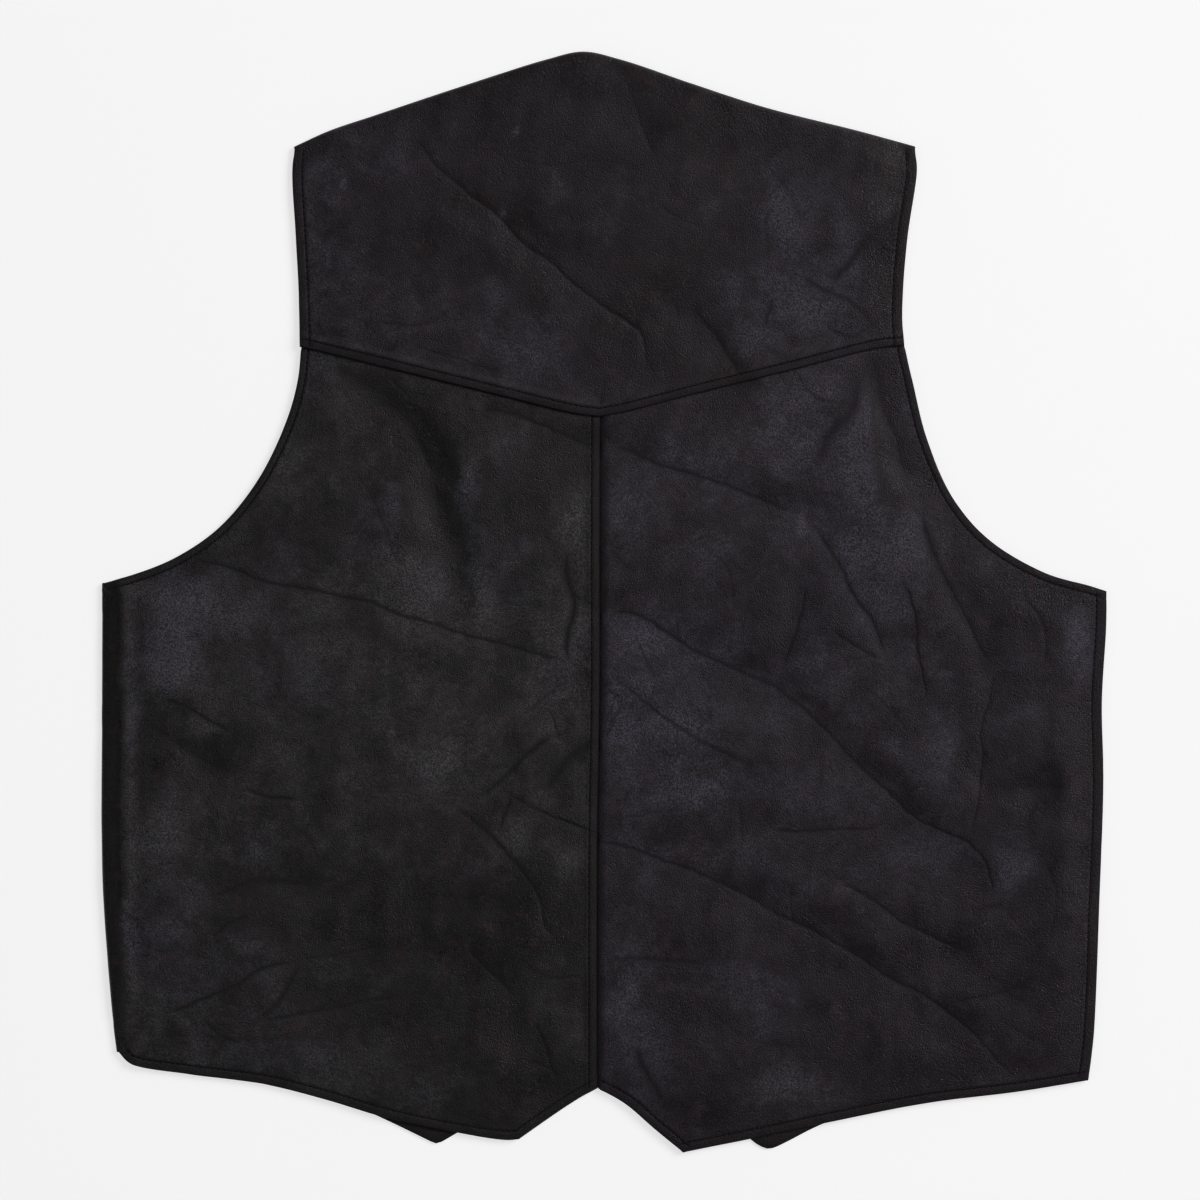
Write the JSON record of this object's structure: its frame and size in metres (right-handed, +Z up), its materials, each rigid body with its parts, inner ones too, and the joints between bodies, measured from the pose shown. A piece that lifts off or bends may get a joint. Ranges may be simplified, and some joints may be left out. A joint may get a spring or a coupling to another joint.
{
  "type": "leather vest",
  "caption": "Sleeveless leather vest lying flat with its back upward, with a pointed yoke, a centre back seam and a notched hem.",
  "frame": {"origin": "on the surface that the vest lies on, under the middle of its outline", "axes": "+Y towards the shoulders, +X towards the wearer's right side, +Z up from the surface, out of the vest's back"},
  "size_m": [0.6028, 0.66, 0.0077],
  "materials": {
    "back_leather": "black leather with a fine pebble grain, creased and rubbed lighter in patches",
    "front_leather": "black leather with a fine pebble grain",
    "thread": "black topstitching thread"
  },
  "bodies": {
    "root": {"back_yoke": "back_leather", "back_left_panel": "back_leather", "back_right_panel": "back_leather", "front_left": "front_leather", "front_right": "front_leather"}
  },
  "joints": []
}
